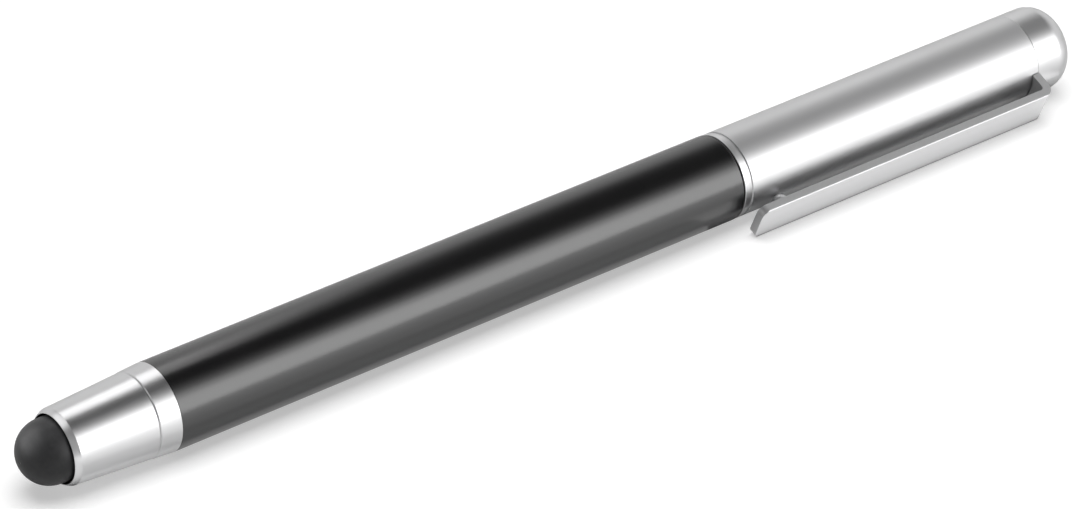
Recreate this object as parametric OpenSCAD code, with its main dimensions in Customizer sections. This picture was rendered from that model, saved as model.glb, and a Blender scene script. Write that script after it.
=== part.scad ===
// Capped two-ended pen: a soft touch-screen dome on the silver nose at one end,
// and a ballpoint under the silver pull-off cap at the other.
// The pen lies on a surface with its axis along X, the dome towards -X and the
// crown towards +X. It rests on the barrel and on the lower edge of the clip.
// Stations are distances along the axis from the front of the black barrel.

/* [Barrel] */
// Outer diameter of the black barrel
barrel_d = 9.5; // [8:0.1:12]
// Length of the black barrel
barrel_len = 71.4; // [58:0.1:90]
// Wall of the barrel tube
barrel_wall = 0.7; // [0.5:0.05:0.9]
// Rounding of the barrel's outer edge at the cap
barrel_edge_r = 0.2; // [0.1:0.05:0.3]
// Length of the threaded bush in the rear of the barrel
coupling_len = 9; // [7:0.5:12]

/* [Stylus nose] */
// Length of the silver collar in front of the barrel
collar_len = 2.4; // [1.5:0.1:4]
// Length of the collar's spigot inside the barrel
collar_spigot_len = 6; // [4:0.5:9]
// Length of the nose cone from the collar to its mouth
cone_len = 9.5; // [7.5:0.1:12]
// How much the collar's radius drops from the barrel to the cone
collar_taper = 0.15; // [0.05:0.01:0.2]
// Step in radius from the collar's front down to the rear of the cone
cone_step = 0.05; // [0.02:0.01:0.1]
// Chamfer on both sides of the seam between cone and collar
seam_chamfer = 0.1; // [0.05:0.01:0.2]
// Width of the flat rim round the mouth
rim_w = 0.06; // [0.04:0.01:0.1]
// Length of the lip behind the mouth
lip_len = 0.65; // [0.5:0.05:0.8]
// Height of the lip from the rim to the cone's side
lip_h = 0.32; // [0.28:0.01:0.4]
// Angle to the axis at which the lip leaves the cone's side
lip_angle = 20; // [12:1:22]
// Depth of the wide bore behind the mouth
mouth_depth = 4; // [3.5:0.1:5]
// Wall of the collar's spigot round the nose thread
collar_wall = 1.09; // [0.8:0.01:1.3]

/* [Dome] */
// Outer diameter of the soft dome
dome_d = 6.8; // [5.5:0.1:8.2]
// How far the dome's centre stands in front of the mouth
dome_out = 0.55; // [0.2:0.05:1]
// Wall of the hollow dome
dome_wall = 0.75; // [0.5:0.05:1]
// Gap between the dome and the mouth
dome_gap = 0.27; // [0.2:0.01:0.4]
// How far a firm press moves the dome
dome_press = 0.6; // [0.3:0.05:1]
// Thickness of the flange on the dome's stem
stem_flange_t = 0.8; // [0.5:0.1:1.2]
// Rounding of the stem's front end inside the dome
stem_front_round = 0.85; // [0.5:0.05:1.2]
// Radius of the stem's spigot in the nose thread
stem_spigot_r = 1.2; // [0.9:0.05:1.5]
// Length of the stem's spigot
stem_spigot_len = 3; // [2:0.1:5]

/* [Cap] */
// Length of the cap from its mouth to the crown's seam
cap_len = 41.5; // [34:0.1:50]
// How much smaller the cap's radius is than the barrel's
cap_step = 0.03; // [0:0.01:0.1]
// Shadow gap between the barrel's end and the cap's mouth
mouth_gap = 0.1; // [0.05:0.01:0.2]
// Wall of the cap tube
cap_wall = 0.47; // [0.35:0.01:0.6]
// Length of the bright band at the cap's mouth
ring_len = 0.65; // [0.4:0.05:1]
// Length of the groove behind that band
groove_len = 0.4; // [0.2:0.05:0.6]
// Depth of the groove behind that band
groove_depth = 0.14; // [0.05:0.01:0.25]
// Length of the mouth ring's spigot inside the cap tube
ring_spigot_len = 2.5; // [1.5:0.1:4]
// Wall of the plastic liner
liner_wall = 0.45; // [0.35:0.01:0.6]
// Length of the crown from its seam to its end
crown_len = 5.8; // [4.8:0.1:8]
// Rounding of the crown's end
crown_round = 2.75; // [2:0.05:3.5]
// Solid end left behind the crown's threaded hole
crown_end_wall = 2.2; // [1.5:0.1:2.6]
// Length of the bush that the crown's screw pulls on
bush_len = 3.8; // [3:0.1:5]
// Radius of the crown's screw
screw_r = 1.5; // [1:0.05:1.8]
// Radius of the screw's head
screw_head_r = 2.6; // [2.1:0.05:3.1]
// Height of the screw's head
screw_head_h = 1.2; // [0.9:0.05:1.6]
// Width of the slot in the screw's head
screw_slot_w = 0.6; // [0.4:0.05:0.8]
// Depth of the slot in the screw's head
screw_slot_depth = 0.6; // [0.4:0.05:0.8]

/* [Clip] */
// Width of the clip's strip
clip_w = 4.2; // [3.5:0.1:5]
// Thickness of the clip's strip
clip_t = 0.95; // [0.8:0.05:1.1]
// Space between the cap and the clip's arm
clip_gap = 1.63; // [1.2:0.01:2.1]
// How far the clip's free end stands back from the cap's mouth
clip_setback = 0.2; // [0:0.05:2]
// Outer radius of the bend between arm and leg
clip_bend_r = 1.4; // [1.2:0.05:2]
// Rounding of the free end's corners
clip_corner_r = 0.9; // [0.3:0.05:1.2]
// Rounding of the face's long edges
clip_edge_r = 0.15; // [0.05:0.01:0.25]
// Diameter of the contact bump under the arm
bump_d = 1.9; // [1.4:0.05:2.4]
// Distance of the bump from the clip's free end
bump_from_end = 4.15; // [3:0.05:6]
// Gap between the leg's hollowed foot and the cap
clip_foot_gap = 0.08; // [0.03:0.01:0.15]

/* [Writing end] */
// Room between the ball and the crown's screw in the closed cap
tip_room = 5.7; // [5:0.1:7]
// How far the refill stands out of the section
refill_out = 3; // [2.5:0.1:4]
// Length of the section's metal nose
section_nose_len = 6; // [5:0.1:7]
// Length of the section's taper behind its nose
section_taper_len = 6; // [5:0.1:7]
// Step in radius from the section down to its thread
section_shoulder = 0.6; // [0.4:0.05:0.8]
// Length of the section's thread in the barrel
section_thread_len = 8; // [6:0.1:8.8]
// Radius where the section's taper meets its metal nose
section_waist_r = 2.5; // [2.2:0.05:2.8]
// Radius of the section's nose at its front
section_tip_r = 1.35; // [1.15:0.05:1.6]
// Distance of the clutch ring from the end of the barrel
clutch_from_barrel = 6; // [5:0.1:7]
// Length of the clutch ring
clutch_len = 1.2; // [0.8:0.05:1.5]
// Depth of the clutch ring's groove
clutch_groove_depth = 0.35; // [0.25:0.01:0.45]
// Width of the slit in the clutch ring
clutch_slit_w = 1.2; // [0.8:0.1:2]

/* [Refill] */
// Diameter of the refill
refill_d = 2.35; // [2.2:0.01:2.8]
// Length of the refill with its tip
refill_len = 67; // [55:0.5:80]
// Wall of the refill's tube
refill_wall = 0.22; // [0.15:0.01:0.3]
// Length of the refill's metal tip in front of its tube
tip_len = 8; // [7.5:0.1:9.5]
// Length of the thin neck with its cone
tip_neck_len = 6; // [5:0.1:7]
// Radius of the thin neck
tip_neck_r = 0.8; // [0.75:0.01:0.95]
// Length of the cone at the ball
tip_cone_len = 1.8; // [1.4:0.1:2.2]
// Wall of the tip round the ball
tip_lip_w = 0.06; // [0.03:0.01:0.1]
// Length of the tip's spigot inside the tube
tip_spigot_len = 3; // [2:0.1:4]
// Diameter of the writing ball
ball_d = 1; // [0.7:0.05:1.2]
// How far the ball stands out of the tip
ball_show = 0.25; // [0.18:0.01:0.3]
// Radius of the ink's way to the ball
ink_way_r = 0.25; // [0.15:0.01:0.3]
// Empty length at the rear of the refill
ink_used_len = 12; // [4:0.5:40]
// Length of the plug in the refill's rear
refill_plug_len = 2; // [1:0.1:4]
// Length of the seat round the refill's rear
stop_seat_len = 3.5; // [2:0.1:6]
// Thickness of the stop behind the refill
stop_floor = 3; // [2:0.1:5]

/* [Fits] */
// Radial clearance of pieces pressed or screwed together
press_fit = 0.02; // [0.01:0.005:0.04]
// Radial clearance of pieces that slide or turn
run_fit = 0.05; // [0.03:0.005:0.09]
// Radial clearance between the section and the cap's liner
section_fit = 0.08; // [0.06:0.005:0.1]
// Gap left where a moving piece comes to rest
rest_gap = 0.05; // [0.03:0.005:0.08]
// Small rounding that breaks a sharp edge
edge_break = 0.06; // [0.03:0.01:0.09]

/* [Hidden] */
round_fn = 96;

// How far a cut runs past what it cuts
overcut = 1;

silver = [0.78, 0.78, 0.79];
satin_black = [0.07, 0.07, 0.075];
rubber_black = [0.12, 0.12, 0.125];
plastic_black = [0.1, 0.1, 0.105];
plastic_white = [0.85, 0.85, 0.83];
brass_yellow = [0.78, 0.62, 0.3];
nickel = [0.7, 0.68, 0.64];
carbide = [0.35, 0.35, 0.37];
ink_blue = [0.05, 0.08, 0.35];

// Barrel
barrel_r = barrel_d / 2;
barrel_bore_r = barrel_r - barrel_wall;
barrel_insert_r = barrel_bore_r - press_fit;

// Nose: the mouth is the front of the cone, and the seat is the shoulder in it
dome_r = dome_d / 2;
mouth_x = -collar_len - cone_len;
mouth_r = dome_r + dome_gap;
seat_x = mouth_x + mouth_depth;
cone_front_x = mouth_x + lip_len;
cone_front_r = mouth_r + rim_w + lip_h;
collar_front_r = barrel_r - collar_taper;
cone_rear_r = collar_front_r - cone_step;
nose_thread_r = barrel_insert_r - collar_wall - press_fit;
lip_turn = 2 * (atan(lip_h / lip_len) - lip_angle);
lip_arc_r = norm([lip_len, lip_h]) / (2 * sin(lip_turn / 2));
lip_steps = 8;

// Dome
dome_x = mouth_x - dome_out;
dome_bore_r = dome_r - dome_wall;
stem_r = dome_bore_r - run_fit;
flange_x = seat_x - stem_flange_t;
skirt_end_x = flange_x - dome_press - rest_gap;

// Cap
cap_r = barrel_r - cap_step;
cap_bore_r = cap_r - cap_wall;
cap_insert_r = cap_bore_r - press_fit;
liner_bore_r = cap_insert_r - liner_wall;
cap_mouth_x = barrel_len + mouth_gap;
tube_x = cap_mouth_x + ring_len + groove_len;
liner_x = tube_x + ring_spigot_len;
seam_x = cap_mouth_x + cap_len;
tube_edge_x = seam_x - edge_break;
root_x = seam_x - clip_t;
bush_x = root_x - bush_len;
head_x = bush_x - screw_head_h;
crown_end_x = seam_x + crown_len;
screw_end_x = crown_end_x - crown_end_wall;

// Clip: distances from the axis, with the arm towards -Y before the cap is rolled
arm_in_r = cap_r + clip_gap;
arm_out_r = arm_in_r + clip_t;
arm_end_x = cap_mouth_x + clip_setback;
bend_x = seam_x - clip_bend_r;
bend_r = arm_out_r - clip_bend_r;
foot_r = cap_r + clip_foot_gap;
bump_r = bump_d / 2;
bump_x = arm_end_x + bump_from_end;
bump_h = clip_gap - rest_gap;
notch_w = clip_w + 2 * run_fit;

// Writing end
section_r = liner_bore_r - section_fit;
section_thread_r = section_r - section_shoulder;
section_thread_x = barrel_len - section_thread_len;
ball_tip_x = head_x - tip_room;
section_end_x = ball_tip_x - refill_out;
nose_x = section_end_x - section_nose_len;
taper_x = nose_x - section_taper_len;
clutch_x = barrel_len + clutch_from_barrel;
clutch_r = liner_bore_r - run_fit;
groove_r = section_r - clutch_groove_depth;

// Refill
refill_r = refill_d / 2;
refill_bore_r = refill_r - refill_wall;
refill_insert_r = refill_bore_r - press_fit;
refill_hole_r = refill_r + run_fit;
refill_rear_x = ball_tip_x - refill_len;
tip_x = ball_tip_x - tip_len;
neck_x = ball_tip_x - tip_neck_len;
neck_hole_r = tip_neck_r + run_fit;
cone_x = ball_tip_x - tip_cone_len;
ball_r = ball_d / 2;
ball_x = ball_tip_x - ball_r;
socket_r = ball_r + press_fit;
tip_rim_x = ball_tip_x - ball_show;
tip_rim_r = ball_r + tip_lip_w;
ink_end_x = tip_x - tip_spigot_len;

// The roll lays the rounded lower edge of the clip on the surface under the barrel
edge_out = arm_out_r - clip_edge_r;
edge_side = clip_w / 2 - clip_edge_r;
edge_reach = norm([edge_out, edge_side]);
edge_angle = atan2(edge_side, edge_out);
cap_roll = asin((barrel_r - clip_edge_r) / edge_reach) - edge_angle;
clip_reach_y = edge_reach * cos(cap_roll - edge_angle) + clip_edge_r;

// The origin is on the surface, under the middle of the whole object
mid_x = (dome_x - dome_r + crown_end_x) / 2;
mid_y = (barrel_r - clip_reach_y) / 2;

// Moves a piece from the pen's own axis to the place where the pen lies
module lying() {
  translate([-mid_x, -mid_y, barrel_r])
    children();
}

// The same for a piece of the cap, which is rolled to rest on its clip
module lying_cap() {
  lying()
    rotate([cap_roll, 0, 0])
      children();
}

// Solid of revolution about the pen's axis: x of the outline is the radius
module turned() {
  rotate([0, 90, 0])
    rotate_extrude($fn = round_fn)
      children();
}

// Outline of a plain tube between two stations
module band(from, to, r_in, r_out) {
  translate([r_in, from])
    square([r_out - r_in, to - from]);
}

// Quarter of a disc that rounds an outer edge, towards +X or -X
module quarter_disc(center_r, center_x, r, toward) {
  intersection() {
    translate([center_r, center_x])
      circle(r, $fn = round_fn);
    translate([center_r, toward > 0 ? center_x : center_x - r])
      square(r);
  }
}

// The same with one or both of its outer edges rounded
module rounded_band(from, to, r_in, r_out, round_from, round_to) {
  band(from + round_from, to - round_to, r_in, r_out);
  if (round_from > 0) {
    band(from, from + round_from, r_in, r_out - round_from);
    quarter_disc(r_out - round_from, from + round_from, round_from, -1);
  }
  if (round_to > 0) {
    band(to - round_to, to, r_in, r_out - round_to);
    quarter_disc(r_out - round_to, to - round_to, round_to, 1);
  }
}

// Outline of a round end towards -X on a bar, as far back as a station
module round_end(center_x, r, to) {
  quarter_disc(0, center_x, r, -1);
  band(center_x, to, 0, r);
}

module stylus_dome() {
  color(rubber_black)
    lying()
      turned()
        difference() {
          round_end(dome_x, dome_r, skirt_end_x);
          round_end(dome_x, dome_bore_r, skirt_end_x + overcut);
        }
}

module dome_stem() {
  color(plastic_black)
    lying()
      turned() {
        rounded_band(mouth_x, flange_x, 0, stem_r, stem_front_round, 0);
        band(flange_x, seat_x, 0, mouth_r - press_fit);
        band(seat_x, seat_x + stem_spigot_len, 0, stem_spigot_r);
      }
}

// Points of the lip's arc, from the cone's side to the rim
function lip_arc() =
  [for (i = [0:lip_steps])
    let (a = lip_angle + lip_turn * i / lip_steps)
      [cone_front_r - lip_arc_r * (cos(lip_angle) - cos(a)),
        cone_front_x - lip_arc_r * (sin(a) - sin(lip_angle))]];

module nose_cone() {
  color(silver)
    lying()
      turned()
        difference() {
          polygon(concat(
            [[0, mouth_x], [0, -collar_len], [cone_rear_r - seam_chamfer, -collar_len],
              [cone_rear_r, -collar_len - seam_chamfer]],
            lip_arc()
          ));
          band(mouth_x - overcut, seat_x, 0, mouth_r);
          band(seat_x - overcut, overcut - collar_len, 0, nose_thread_r + press_fit);
        }
}

module nose_coupling() {
  color(brass_yellow)
    lying()
      turned()
        difference() {
          band(seat_x, collar_spigot_len, 0, nose_thread_r);
          band(seat_x - overcut, seat_x + stem_spigot_len, 0, stem_spigot_r + press_fit);
        }
}

module front_collar() {
  color(silver)
    lying()
      turned()
        difference() {
          union() {
            polygon([[0, -collar_len], [collar_front_r - seam_chamfer, -collar_len],
              [collar_front_r, seam_chamfer - collar_len], [barrel_r, 0], [0, 0]]);
            band(0, collar_spigot_len, 0, barrel_insert_r);
          }
          band(-collar_len - overcut, collar_spigot_len + overcut, 0, nose_thread_r + press_fit);
        }
}

module barrel_tube() {
  color(satin_black)
    lying()
      turned()
        rounded_band(0, barrel_len, barrel_bore_r, barrel_r, edge_break, barrel_edge_r);
}

module refill_stop() {
  color(plastic_white)
    lying()
      turned()
        difference() {
          band(refill_rear_x - stop_floor, refill_rear_x + stop_seat_len, 0, barrel_insert_r);
          band(refill_rear_x, refill_rear_x + stop_seat_len + overcut, 0, refill_hole_r);
        }
}

module section_coupling() {
  color(brass_yellow)
    lying()
      turned()
        band(barrel_len - coupling_len, barrel_len, section_thread_r + press_fit, barrel_insert_r);
}

module writing_section() {
  color(plastic_black)
    lying()
      turned()
        difference() {
          union() {
            band(section_thread_x, barrel_len, 0, section_thread_r);
            rounded_band(barrel_len, taper_x, 0, section_r, edge_break, 0);
            polygon([[0, taper_x], [section_r, taper_x], [section_waist_r, nose_x], [0, nose_x]]);
          }
          band(clutch_x - run_fit, clutch_x + clutch_len + run_fit, groove_r, section_r + overcut);
          band(section_thread_x - overcut, nose_x + overcut, 0, refill_hole_r);
        }
}

module section_nose() {
  color(silver)
    lying()
      turned()
        difference() {
          polygon([[0, nose_x], [section_waist_r, nose_x], [section_tip_r, section_end_x - edge_break],
            [section_tip_r - edge_break, section_end_x], [0, section_end_x]]);
          band(nose_x - overcut, neck_x, 0, refill_hole_r);
          band(neck_x - overcut, section_end_x + overcut, 0, neck_hole_r);
        }
}

module clutch_ring() {
  color(nickel)
    lying()
      difference() {
        turned()
          rounded_band(clutch_x, clutch_x + clutch_len, groove_r + run_fit, clutch_r, edge_break, edge_break);
        translate([clutch_x - overcut, -clutch_slit_w / 2, 0])
          cube([clutch_len + 2 * overcut, clutch_slit_w, barrel_r]);
      }
}

module refill_tube() {
  color(brass_yellow)
    lying()
      turned()
        band(refill_rear_x, tip_x, refill_bore_r, refill_r);
}

module refill_plug() {
  color(plastic_white)
    lying()
      turned()
        band(refill_rear_x, refill_rear_x + refill_plug_len, ink_way_r, refill_insert_r);
}

module ink_column() {
  color(ink_blue)
    lying()
      turned()
        band(refill_rear_x + ink_used_len, ink_end_x, 0, refill_insert_r);
}

module refill_tip() {
  color(nickel)
    lying()
      turned()
        difference() {
          union() {
            band(ink_end_x, tip_x, ink_way_r, refill_insert_r);
            band(tip_x, neck_x, ink_way_r, refill_r);
            polygon([[ink_way_r, neck_x], [tip_neck_r, neck_x], [tip_neck_r, cone_x],
              [tip_rim_r, tip_rim_x], [ink_way_r, tip_rim_x]]);
          }
          translate([0, ball_x])
            circle(socket_r, $fn = round_fn);
        }
}

module writing_ball() {
  color(carbide)
    lying()
      translate([ball_x, 0, 0])
        sphere(ball_r, $fn = round_fn);
}

module cap_mouth_ring() {
  color(silver)
    lying_cap()
      turned() {
        rounded_band(cap_mouth_x, cap_mouth_x + ring_len, liner_bore_r, cap_r, edge_break, edge_break);
        band(cap_mouth_x + ring_len, tube_x, liner_bore_r, cap_r - groove_depth);
        band(tube_x, liner_x, liner_bore_r, cap_insert_r);
      }
}

module cap_tube() {
  color(silver)
    lying_cap()
      difference() {
        turned() {
          rounded_band(tube_x, tube_edge_x, cap_bore_r, cap_r, edge_break, 0);
          polygon([[cap_bore_r, tube_edge_x], [cap_r, tube_edge_x], [cap_r - edge_break, seam_x],
            [cap_bore_r, seam_x]]);
        }
        translate([root_x - rest_gap, -cap_r - overcut, -notch_w / 2])
          cube([rest_gap + clip_t + overcut, cap_r + overcut, notch_w]);
      }
}

module cap_liner() {
  color(plastic_black)
    lying_cap()
      turned()
        band(liner_x, bush_x, liner_bore_r, cap_insert_r);
}

module crown_bush() {
  color(brass_yellow)
    lying_cap()
      turned()
        band(bush_x, root_x, screw_r + press_fit, cap_insert_r);
}

module clip_root() {
  color(silver)
    lying_cap()
      difference() {
        union() {
          turned()
            band(root_x, seam_x, 0, cap_insert_r);
          intersection() {
            translate([root_x, -cap_r, -clip_w / 2])
              cube([clip_t, cap_r, clip_w]);
            turned()
              band(root_x, seam_x, 0, cap_r);
          }
        }
        turned()
          band(root_x - overcut, seam_x + overcut, 0, screw_r + press_fit);
      }
}

module crown_screw() {
  color(nickel)
    lying_cap()
      difference() {
        turned() {
          band(head_x, bush_x, 0, screw_head_r);
          band(bush_x, screw_end_x, 0, screw_r);
        }
        translate([head_x - overcut, -screw_head_r - overcut, -screw_slot_w / 2])
          cube([overcut + screw_slot_depth, 2 * (screw_head_r + overcut), screw_slot_w]);
      }
}

module cap_crown() {
  color(silver)
    lying_cap()
      turned()
        difference() {
          rounded_band(seam_x, crown_end_x, 0, cap_r, edge_break, crown_round);
          band(seam_x - overcut, screw_end_x + rest_gap, 0, screw_r + press_fit);
        }
}

// Side of the bent strip: x along the pen, y away from its axis
module clip_side() {
  translate([arm_end_x, arm_in_r])
    square([bend_x - arm_end_x, clip_t]);
  translate([root_x, 0])
    square([clip_t, bend_r]);
  difference() {
    quarter_disc(bend_x, bend_r, clip_bend_r, 1);
    translate([bend_x, bend_r])
      circle(clip_bend_r - clip_t, $fn = round_fn);
  }
}

// Section across the strip, which rounds the face's two long edges
module clip_section() {
  translate([-edge_out, -clip_w / 2])
    square([edge_out, clip_w]);
  translate([-arm_out_r, -edge_side])
    square([arm_out_r, 2 * edge_side]);
  for (side = [-1, 1])
    translate([-edge_out, side * edge_side])
      circle(clip_edge_r, $fn = round_fn);
}

// Plan of the strip, which rounds the two corners of its free end
module clip_plan() {
  translate([arm_end_x, -clip_w / 2 + clip_corner_r])
    square([seam_x - arm_end_x, clip_w - 2 * clip_corner_r]);
  translate([arm_end_x + clip_corner_r, -clip_w / 2])
    square([seam_x - arm_end_x - clip_corner_r, clip_w]);
  for (side = [-1, 1])
    translate([arm_end_x + clip_corner_r, side * (clip_w / 2 - clip_corner_r)])
      circle(clip_corner_r, $fn = round_fn);
}

module pocket_clip() {
  color(silver)
    lying_cap() {
      difference() {
        intersection() {
          rotate([180, 0, 0])
            linear_extrude(clip_w, center = true)
              clip_side();
          rotate([90, 0, 90])
            linear_extrude(seam_x)
              clip_section();
          rotate([90, 0, 0])
            linear_extrude(arm_out_r)
              clip_plan();
        }
        turned()
          band(root_x - overcut, seam_x + overcut, 0, foot_r);
      }
      translate([bump_x, -arm_in_r, 0])
        rotate([-90, 0, 0]) {
          translate([0, 0, -clip_t / 2])
            cylinder(clip_t / 2 + bump_h - bump_r, r = bump_r, $fn = round_fn);
          translate([0, 0, bump_h - bump_r])
            sphere(bump_r, $fn = round_fn);
        }
    }
}

stylus_dome();
dome_stem();
nose_cone();
nose_coupling();
front_collar();
barrel_tube();
refill_stop();
section_coupling();
writing_section();
section_nose();
clutch_ring();
refill_tube();
refill_plug();
ink_column();
refill_tip();
writing_ball();
cap_mouth_ring();
cap_tube();
cap_liner();
crown_bush();
clip_root();
crown_screw();
cap_crown();
pocket_clip();
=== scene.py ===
"""Looks of the stylus pen: finishes of its parts, its soft dome, studio light and camera.

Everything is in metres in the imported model's frame: the pen lies along X, with its
soft dome towards -X, its cap towards +X and the cap's clip on the -Y side.
"""
import math

import bpy
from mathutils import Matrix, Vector


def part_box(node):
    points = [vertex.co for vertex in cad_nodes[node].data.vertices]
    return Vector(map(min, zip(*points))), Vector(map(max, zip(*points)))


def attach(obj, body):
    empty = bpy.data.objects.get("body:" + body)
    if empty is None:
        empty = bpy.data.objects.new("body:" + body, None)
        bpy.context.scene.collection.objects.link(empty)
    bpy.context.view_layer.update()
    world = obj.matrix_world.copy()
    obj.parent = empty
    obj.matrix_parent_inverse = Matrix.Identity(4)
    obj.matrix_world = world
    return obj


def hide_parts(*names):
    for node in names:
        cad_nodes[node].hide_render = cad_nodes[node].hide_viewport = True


MM = 0.001

# Tones, as linear reflectances
SILVER = (0.66, 0.66, 0.665)
LACQUER_BLACK = (0.002, 0.002, 0.0022)
RUBBER_BLACK = (0.022, 0.022, 0.023)
PLASTIC_BLACK = (0.03, 0.03, 0.032)
PLASTIC_WHITE = (0.78, 0.78, 0.75)
BRASS = (0.72, 0.53, 0.24)
NICKEL = (0.66, 0.63, 0.58)
CARBIDE = (0.3, 0.3, 0.32)
INK = (0.006, 0.012, 0.09)

# A noise texture's values lie mostly between these
NOISE_RANGE = (0.3, 0.7)

# The dome's skin, and the faces that it is made of
DOME_WALL = 0.75 * MM
DOME_EDGE = 0.12 * MM
DOME_TURN_STEPS = 96
DOME_ARC_STEPS = 28
# Just short of 90 degrees, so that no face at the tip shrinks to nothing
DOME_TIP_ANGLE = 89.6

# The photograph's camera
VIEW_AZIMUTH = -37.93
VIEW_ELEVATION = 31.75
LENS_MM = 175.13
SENSOR_MM = 36.0
AIM_POINT = Vector((-17.2275, 1.371, 4.75)) * MM
SHIFT_RIGHT = 10.743 * MM
SHIFT_UP = 3.933 * MM
DISTANCE = 533.64 * MM

MIRROR_RAYS = ("Is Glossy Ray", "Is Transmission Ray")

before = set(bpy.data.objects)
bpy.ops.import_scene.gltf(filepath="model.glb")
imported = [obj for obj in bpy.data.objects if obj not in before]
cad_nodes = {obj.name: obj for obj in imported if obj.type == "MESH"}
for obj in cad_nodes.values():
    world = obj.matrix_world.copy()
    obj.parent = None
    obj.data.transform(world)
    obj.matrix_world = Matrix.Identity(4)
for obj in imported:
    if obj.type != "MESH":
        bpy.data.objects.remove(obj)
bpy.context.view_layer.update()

barrel_low, barrel_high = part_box("barrel_tube")
# A point on the pen's axis
PEN_AXIS = (barrel_low + barrel_high) / 2

# The panels round the pen, whose reflections are the light bands along it
KEY_RADIUS = 0.51
KEY_STRETCH = (0.06, 0.62)
BACK_RADIUS = 0.213
LIP_STRETCH = (-0.25, -0.07)
CEILING_STRETCH = (0.13, 0.35)
# The pieces that a panel reaches
ALL = None
CAP = ("cap_tube", "cap_mouth_ring", "pocket_clip")
CROWN = ("cap_crown",)
NOSE = ("nose_cone",)
# Each panel's two angles, its distance from the pen's axis, its stretch along X, its light
# and the pieces that it reaches
PANELS = {
    "key_low": ((0, 36), KEY_RADIUS, KEY_STRETCH, 2.65, ALL),
    "key_middle": ((36, 48), KEY_RADIUS, KEY_STRETCH, 1.6, ALL),
    "key_high": ((48, 60), KEY_RADIUS, KEY_STRETCH, 0.55, ALL),
    "key_edge": ((60, 70), KEY_RADIUS, KEY_STRETCH, 0.15, ALL),
    "cone_strip": ((103, 133), BACK_RADIUS, (0.0, 0.064), 2.4, ALL),
    "barrel_strip": ((118, 144), BACK_RADIUS, (0.064, 0.082), 1.0, ALL),
    "cap_back": ((106, 150), BACK_RADIUS, (0.165, 0.2), 1.0, CAP + CROWN),
    "cap_ceiling": ((62, 106), BACK_RADIUS, CEILING_STRETCH, 0.3, CAP),
    "crown_ceiling": ((62, 106), BACK_RADIUS, CEILING_STRETCH, 0.16, CROWN),
    "lip_side": ((36, 84), BACK_RADIUS, LIP_STRETCH, 0.2, NOSE),
    "lip_glow": ((84, 136), BACK_RADIUS, LIP_STRETCH, 1.3, NOSE),
}

# The cards that lie on the table, whose reflections are the tones along the pen's lower half
CARD_HEIGHT = 0.05 * MM
# Each card's stretch along X, its stretch along Y and its light
CARDS = {
    "clip_card": ((0.017, 0.068), (-0.009, -0.0047), 0.48),
    "near_card": ((-0.06, 0.12), (-0.016, -0.009), 0.3),
    "front_card": ((-0.08, 0.15), (-0.032, -0.016), 0.5),
    "far_card": ((-0.08, 0.2), (-0.12, -0.032), 0.72),
    "pen_card": ((-0.062, 0.017), (-0.003, 0.004), 0.36),
    "lip_card": ((-0.1, -0.063), (-0.03, 0.001), 0.26),
}


def set_input(tree, socket, value):
    """Links a socket to another node's output, or gives it a plain value."""
    if isinstance(value, bpy.types.NodeSocket):
        tree.links.new(value, socket)
    else:
        socket.default_value = value


def math_node(tree, operation, *values):
    """The result of a Math node; each value is another node's output or a number."""
    made = tree.nodes.new("ShaderNodeMath")
    made.operation = operation
    for socket, value in zip(made.inputs, values):
        set_input(tree, socket, value)
    return made.outputs["Value"]


def map_range(tree, value, source, target, smooth=False):
    """Maps a value from the range source to the range target."""
    made = tree.nodes.new("ShaderNodeMapRange")
    if smooth:
        made.interpolation_type = "SMOOTHSTEP"
    made.inputs["From Min"].default_value = source[0]
    made.inputs["From Max"].default_value = source[1]
    made.inputs["To Min"].default_value = target[0]
    made.inputs["To Max"].default_value = target[1]
    tree.links.new(value, made.inputs["Value"])
    return made.outputs["Result"]


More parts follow.
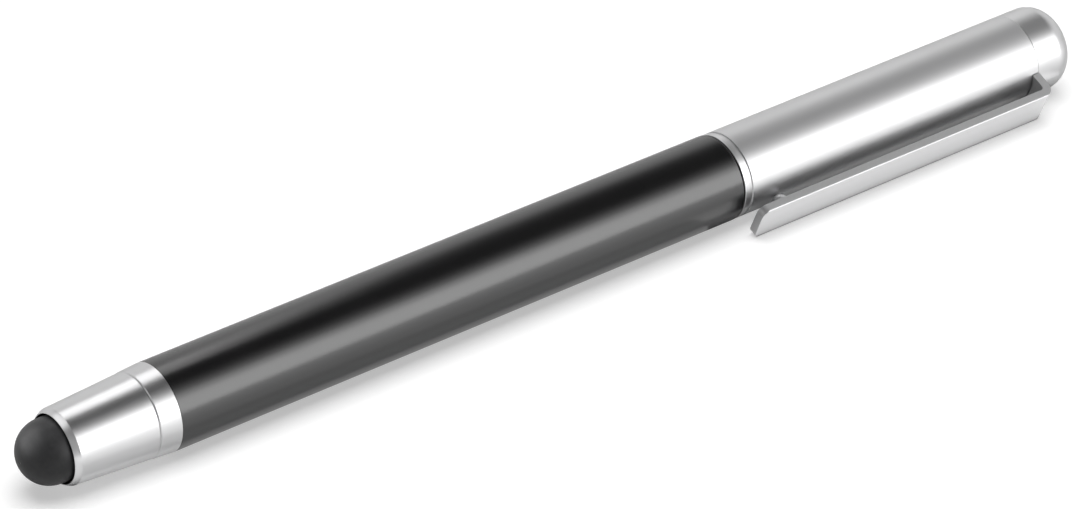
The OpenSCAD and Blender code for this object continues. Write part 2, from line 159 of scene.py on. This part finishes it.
class Finish:
    """A procedural material: a Principled shader and the nodes that vary it."""

    def __init__(self, name, color, roughness, metallic=0.0, **inputs):
        self.material = bpy.data.materials.new(name)
        self.material.use_nodes = True
        self.tree = self.material.node_tree
        self.shader = self.tree.nodes["Principled BSDF"]
        self.color = color
        self.roughness = roughness
        self.shader.inputs["Base Color"].default_value = (*color, 1.0)
        self.shader.inputs["Roughness"].default_value = roughness
        self.shader.inputs["Metallic"].default_value = metallic
        for key, value in inputs.items():
            self.shader.inputs[key.replace("_", " ")].default_value = value
        self.place = self.tree.nodes.new("ShaderNodeTexCoord").outputs["Object"]
        self.normal = None

    def link(self, source, target):
        self.tree.links.new(source, target)

    def noise(self, feature_mm, detail=3.0):
        """Noise whose features measure feature_mm along X, Y and Z."""
        scaled = self.tree.nodes.new("ShaderNodeMapping")
        scaled.inputs["Scale"].default_value = [1.0 / (size * MM) for size in feature_mm]
        self.link(self.place, scaled.inputs["Vector"])
        noise = self.tree.nodes.new("ShaderNodeTexNoise")
        noise.inputs["Scale"].default_value = 1.0
        noise.inputs["Detail"].default_value = detail
        self.link(scaled.outputs["Vector"], noise.inputs["Vector"])
        return noise.outputs["Fac"]

    def vary_roughness(self, feature_mm, amount):
        """Lets the roughness drift by an amount, up and down."""
        limits = (self.roughness - amount, self.roughness + amount)
        varied = map_range(self.tree, self.noise(feature_mm), NOISE_RANGE, limits)
        self.link(varied, self.shader.inputs["Roughness"])
        return self

    def vary_color(self, feature_mm, amount):
        """Lets the colour drift by a share of itself, up and down."""
        ramp = self.tree.nodes.new("ShaderNodeValToRGB")
        for element, factor in zip(ramp.color_ramp.elements, (1.0 - amount, 1.0 + amount)):
            tone = [min(1.0, part * factor) for part in self.color]
            element.color = (*tone, 1.0)
        varied = map_range(self.tree, self.noise(feature_mm), NOISE_RANGE, (0.0, 1.0))
        self.link(varied, ramp.inputs["Fac"])
        self.link(ramp.outputs["Color"], self.shader.inputs["Base Color"])
        return self

    def bump(self, feature_mm, height_mm):
        """Adds a relief on top of those that the finish has already."""
        bump = self.tree.nodes.new("ShaderNodeBump")
        bump.inputs["Strength"].default_value = 1.0
        bump.inputs["Distance"].default_value = height_mm * MM
        self.link(self.noise(feature_mm), bump.inputs["Height"])
        if self.normal is not None:
            self.link(self.normal, bump.inputs["Normal"])
        self.normal = bump.outputs["Normal"]
        self.link(self.normal, self.shader.inputs["Normal"])
        return self


def even(size):
    """The same feature size along every axis."""
    return (size, size, size)


def dress(finish, *nodes):
    """Gives CAD nodes a finish through their objects' material slots."""
    for name in nodes:
        for material_slot in cad_nodes[name].material_slots:
            material_slot.material = finish.material


def satin_metal(name, roughness):
    """Plated metal with a fine pearl matting."""
    finish = Finish(name, SILVER, roughness, metallic=1.0)
    finish.vary_roughness(even(6.0), amount=0.012)
    finish.bump(even(0.09), height_mm=0.0006)
    return finish


def brushed_metal():
    """The clip's strip, brushed along its length."""
    finish = Finish("clip_brushed", SILVER, roughness=0.5, metallic=1.0)
    finish.vary_roughness((8.0, 0.12, 0.12), amount=0.02)
    finish.bump((4.0, 0.05, 0.05), height_mm=0.0005)
    return finish


def turned_metal(name, color, roughness, groove_mm):
    """Metal with the fine rings that a lathe's tool leaves round the axis."""
    finish = Finish(name, color, roughness, metallic=1.0)
    finish.vary_roughness((0.15, 3.0, 3.0), amount=0.04)
    finish.bump((groove_mm, 9.0, 9.0), height_mm=0.001)
    return finish


def polished_carbide():
    finish = Finish("carbide_polished", CARBIDE, roughness=0.12, metallic=1.0)
    finish.vary_roughness(even(0.1), amount=0.05)
    return finish


def satin_lacquer():
    """Black lacquer with a faint orange-peel."""
    finish = Finish("satin_lacquer", LACQUER_BLACK, roughness=0.24, IOR=1.8)
    finish.vary_roughness(even(5.0), amount=0.012)
    finish.bump(even(0.35), height_mm=0.0008)
    finish.bump(even(0.08), height_mm=0.0003)
    return finish


def black_plastic():
    finish = Finish("moulded_black", PLASTIC_BLACK, roughness=0.5)
    finish.vary_roughness(even(2.0), amount=0.04)
    finish.bump(even(0.12), height_mm=0.003)
    return finish


def white_plastic():
    finish = Finish("moulded_white", PLASTIC_WHITE, roughness=0.42)
    finish.vary_color(even(1.5), amount=0.03)
    finish.bump(even(0.2), height_mm=0.002)
    return finish


def ink_paste():
    finish = Finish("ink_paste", INK, roughness=0.35)
    finish.vary_color(even(1.2), amount=0.2)
    return finish


def soft_rubber():
    finish = Finish("soft_rubber", RUBBER_BLACK, roughness=0.45, Specular_IOR_Level=0.28)
    finish.vary_roughness(even(0.9), amount=0.05)
    finish.vary_color(even(0.5), amount=0.12)
    finish.bump(even(0.07), height_mm=0.002)
    return finish


def lathe(name, outline, centre, steps):
    """Turns a closed outline of (x, radius) points about the pen's axis."""
    vertices = []
    faces = []
    for turn in range(steps):
        angle = 2 * math.pi * turn / steps
        for x, radius in outline:
            vertices.append((x, centre.y + radius * math.cos(angle), centre.z + radius * math.sin(angle)))
    count = len(outline)
    for turn in range(steps):
        here = turn * count
        after = (turn + 1) % steps * count
        for i in range(count):
            j = (i + 1) % count
            faces.append((here + i, here + j, after + j, after + i))
    mesh = bpy.data.meshes.new(name)
    mesh.from_pydata(vertices, [], faces)
    mesh.validate()
    for polygon in mesh.polygons:
        polygon.use_smooth = True
    piece = bpy.data.objects.new(name, mesh)
    bpy.context.scene.collection.objects.link(piece)
    return piece


def sphere_arc(x, radius, start, end, steps):
    """Points of a sphere round the axis; an angle of 0 points away from the axis and 90 towards -X."""
    points = []
    for i in range(steps + 1):
        angle = math.radians(start + (end - start) * i / steps)
        points.append((x - radius * math.sin(angle), radius * math.cos(angle)))
    return points


def soft_dome():
    """The dome's hollow skin, with a hemisphere at its front and a small chamfer at its rear."""
    low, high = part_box("stylus_dome")
    centre = (low + high) / 2
    outer = (high.z - low.z) / 2
    inner = outer - DOME_WALL
    sphere_x = low.x + outer
    outline = [(high.x, inner + DOME_EDGE)]
    outline += [(high.x, outer - DOME_EDGE), (high.x - DOME_EDGE, outer)]
    outline += sphere_arc(sphere_x, outer, 0.0, DOME_TIP_ANGLE, DOME_ARC_STEPS)
    outline += sphere_arc(sphere_x, inner, DOME_TIP_ANGLE, 0.0, DOME_ARC_STEPS)
    outline += [(high.x - DOME_EDGE, inner)]
    return lathe("rubber_dome", outline, centre, DOME_TURN_STEPS)


def light_path_sum(tree, *rays):
    """1 for the kinds of ray named, and 0 for the others."""
    path = tree.nodes.new("ShaderNodeLightPath")
    total = path.outputs[rays[0]]
    for ray in rays[1:]:
        total = math_node(tree, "ADD", total, path.outputs[ray])
    return total


def no_matt_surface_yet(tree):
    """1 until a ray has met a matt surface, so that metal throws no mirrored light on the floor."""
    between_none_and_one = 0.5
    path = tree.nodes.new("ShaderNodeLightPath")
    return math_node(tree, "LESS_THAN", path.outputs["Diffuse Depth"], between_none_and_one)


def pale_floor():
    """A white table top: some of the light that is seen on it is its own, so its shadows stay pale.

    Its own light grows away from the pen, where the lamp's light fades.
    """
    size = 4.0
    albedo = 0.62
    own_light = 0.47
    own_light_far = 1.0
    own_light_mirrored = 0.05
    fade_range = (0.2, 0.9)
    mesh = bpy.data.meshes.new("table_top")
    corners = [(-size, -size, 0), (size, -size, 0), (size, size, 0), (-size, size, 0)]
    mesh.from_pydata(corners, [], [(0, 1, 2, 3)])
    floor = bpy.data.objects.new("table_top", mesh)
    bpy.context.scene.collection.objects.link(floor)
    material = bpy.data.materials.new("table_white")
    material.use_nodes = True
    tree = material.node_tree
    tree.nodes.clear()
    plain = tree.nodes.new("ShaderNodeBsdfDiffuse")
    plain.inputs["Color"].default_value = (albedo, albedo, albedo, 1)
    place = tree.nodes.new("ShaderNodeTexCoord")
    distance = tree.nodes.new("ShaderNodeVectorMath")
    distance.operation = "LENGTH"
    tree.links.new(place.outputs["Object"], distance.inputs[0])
    growing = map_range(tree, distance.outputs["Value"], fade_range, (own_light, own_light_far), smooth=True)
    mirrored = math_node(tree, "MULTIPLY", light_path_sum(tree, *MIRROR_RAYS), own_light_mirrored)
    seen = math_node(tree, "MULTIPLY_ADD", light_path_sum(tree, "Is Camera Ray"), growing, mirrored)
    own = tree.nodes.new("ShaderNodeEmission")
    tree.links.new(seen, own.inputs["Strength"])
    both = tree.nodes.new("ShaderNodeAddShader")
    out = tree.nodes.new("ShaderNodeOutputMaterial")
    tree.links.new(plain.outputs["BSDF"], both.inputs[0])
    tree.links.new(own.outputs["Emission"], both.inputs[1])
    tree.links.new(both.outputs["Shader"], out.inputs["Surface"])
    mesh.materials.append(material)


def background(tree, color, strength=1.0):
    """A Background shader; its colour and strength are other nodes' outputs or plain values."""
    made = tree.nodes.new("ShaderNodeBackground")
    set_input(tree, made.inputs["Color"], color)
    set_input(tree, made.inputs["Strength"], strength)
    return made.outputs["Background"]


def mix_shaders(tree, share, first, second):
    """The first shader where share is 0, and the second where it is 1."""
    made = tree.nodes.new("ShaderNodeMixShader")
    tree.links.new(share, made.inputs["Fac"])
    tree.links.new(first, made.inputs[1])
    tree.links.new(second, made.inputs[2])
    return made.outputs["Shader"]


def studio_world():
    """Even light for the surfaces; metal mirrors white sides, a dim front and a dark ceiling."""
    fill = 0.1
    side_tone = 0.85
    ceiling_tone = 0.06
    ceiling_rise = (0.45, 0.78)
    front = (-0.6, -0.8, 0.0)
    front_dim = 0.5
    front_rise = (0.5, 0.8)
    world = bpy.data.worlds.new("studio")
    bpy.context.scene.world = world
    world.use_nodes = True
    tree = world.node_tree
    tree.nodes.clear()
    place = tree.nodes.new("ShaderNodeTexCoord").outputs["Generated"]
    axes = tree.nodes.new("ShaderNodeSeparateXYZ")
    tree.links.new(place, axes.inputs["Vector"])
    tone = map_range(tree, axes.outputs["Z"], ceiling_rise, (side_tone, ceiling_tone), smooth=True)
    towards_front = tree.nodes.new("ShaderNodeVectorMath")
    towards_front.operation = "DOT_PRODUCT"
    towards_front.inputs[1].default_value = front
    tree.links.new(place, towards_front.inputs[0])
    dimming = map_range(tree, towards_front.outputs["Value"], front_rise, (1.0, front_dim), smooth=True)
    even_light = background(tree, (fill, fill, fill, 1))
    studio = background(tree, tone, dimming)
    backdrop = background(tree, (1, 1, 1, 1))
    mirrored = math_node(tree, "MULTIPLY", light_path_sum(tree, *MIRROR_RAYS), no_matt_surface_yet(tree))
    reflected = mix_shaders(tree, mirrored, even_light, studio)
    shown = mix_shaders(tree, light_path_sum(tree, "Is Camera Ray"), reflected, backdrop)
    out = tree.nodes.new("ShaderNodeOutputWorld")
    tree.links.new(shown, out.inputs["Surface"])


def soft_box(name, centre, away, width, height, radiance):
    """A rectangular lamp, given by the light that its face shows; away points from its face to its back."""
    lamp = bpy.data.lights.new(name, "AREA")
    lamp.shape = "RECTANGLE"
    lamp.size = width
    lamp.size_y = height
    lamp.energy = radiance * math.pi * width * height
    holder = bpy.data.objects.new(name, lamp)
    bpy.context.scene.collection.objects.link(holder)
    holder.location = centre
    holder.rotation_euler = Vector(away).to_track_quat("Z", "Y").to_euler()
    holder.visible_camera = False
    return holder


def gloss_only(holder):
    """Keeps a lamp out of everything but the reflections in the pen."""
    holder.visible_diffuse = False
    holder.data.use_nodes = True
    tree = holder.data.node_tree
    tree.links.new(no_matt_surface_yet(tree), tree.nodes["Emission"].inputs["Strength"])


def shine_on(holder, pieces):
    """Lets a lamp reach only the pieces given."""
    reached = bpy.data.collections.new(holder.name + "_pieces")
    for piece in pieces:
        reached.objects.link(piece)
    holder.light_linking.receiver_collection = reached


def mirror_panel(name, angles, radius, stretch, radiance, reached):
    """A panel beside the pen; an angle of 0 is level with it on the -Y side, and 90 is overhead."""
    middle = math.radians(sum(angles) / 2)
    away = Vector((0, -math.cos(middle), math.sin(middle)))
    centre = Vector((sum(stretch) / 2, PEN_AXIS.y, PEN_AXIS.z)) + away * radius
    height = 2 * radius * math.tan(math.radians(angles[1] - angles[0]) / 2)
    panel = soft_box(name, centre, away, stretch[1] - stretch[0], height, radiance)
    gloss_only(panel)
    if reached is not ALL:
        shine_on(panel, [cad_nodes[piece] for piece in reached])


def floor_card(name, stretch, depth, radiance):
    """A card that lies on the table, from one X to another and from one Y to another."""
    centre = ((stretch[0] + stretch[1]) / 2, (depth[0] + depth[1]) / 2, CARD_HEIGHT)
    downwards = (0, 0, -1)
    gloss_only(soft_box(name, centre, downwards, stretch[1] - stretch[0], depth[1] - depth[0], radiance))


def dome_glow(dome):
    """A soft light behind the pen's front end, for the sheen on the dome."""
    dome_middle = Vector((-0.063, PEN_AXIS.y, PEN_AXIS.z))
    side = Vector((-0.6, 0.55, 0.58))
    distance = 0.2
    size = 0.26
    radiance = 3.5
    glow = soft_box("dome_glow", dome_middle + side * distance, side, size, size, radiance)
    gloss_only(glow)
    shine_on(glow, [dome])


def top_fill():
    """The large soft box overhead that lights the matt surfaces and throws the pen's shadow."""
    centre = (0, -0.06, 0.8)
    away = (0, -0.07, 1)
    size = 0.75
    radiance = 4.4
    box = soft_box("top_fill", centre, away, size, size, radiance)
    box.visible_glossy = False


def photo_camera():
    azimuth = math.radians(VIEW_AZIMUTH)
    elevation = math.radians(VIEW_ELEVATION)
    right = Vector((math.cos(azimuth), math.sin(azimuth), 0))
    back = Vector((math.sin(azimuth) * math.cos(elevation), -math.cos(azimuth) * math.cos(elevation),
                   math.sin(elevation)))
    up = back.cross(right)
    lens = bpy.data.cameras.new("photo_camera")
    lens.lens = LENS_MM
    lens.sensor_width = SENSOR_MM
    holder = bpy.data.objects.new("photo_camera", lens)
    bpy.context.scene.collection.objects.link(holder)
    holder.location = AIM_POINT + SHIFT_RIGHT * right + SHIFT_UP * up + DISTANCE * back
    holder.rotation_euler = back.to_track_quat("Z", "Y").to_euler()
    bpy.context.scene.camera = holder


dress(satin_metal("cap_satin", roughness=0.4), "cap_tube")
dress(satin_metal("crown_satin", roughness=0.3), "cap_crown")
dress(satin_metal("nose_satin", roughness=0.32), "nose_cone", "front_collar", "section_nose")
dress(satin_metal("ring_bright", roughness=0.32), "cap_mouth_ring")
dress(brushed_metal(), "pocket_clip", "clip_root")
dress(satin_lacquer(), "barrel_tube")
dress(black_plastic(), "dome_stem", "writing_section", "cap_liner")
dress(white_plastic(), "refill_stop", "refill_plug")
turned_brass = turned_metal("turned_brass", BRASS, roughness=0.26, groove_mm=0.1)
turned_brass.vary_color(even(2.5), amount=0.06)
dress(turned_brass, "nose_coupling", "section_coupling", "refill_tube", "crown_bush")
nickel_plate = turned_metal("nickel_plate", NICKEL, roughness=0.2, groove_mm=0.07)
dress(nickel_plate, "clutch_ring", "refill_tip", "crown_screw")
dress(polished_carbide(), "writing_ball")
dress(ink_paste(), "ink_column")

dome = soft_dome()
dome.data.materials.append(soft_rubber().material)
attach(dome, "dome")
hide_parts("stylus_dome")

pale_floor()
studio_world()
for name, (angles, radius, stretch, radiance, reached) in PANELS.items():
    mirror_panel(name, angles, radius, stretch, radiance, reached)
for name, (stretch, depth, radiance) in CARDS.items():
    floor_card(name, stretch, depth, radiance)
dome_glow(dome)
top_fill()
photo_camera()
bpy.context.scene.view_settings.view_transform = "Standard"
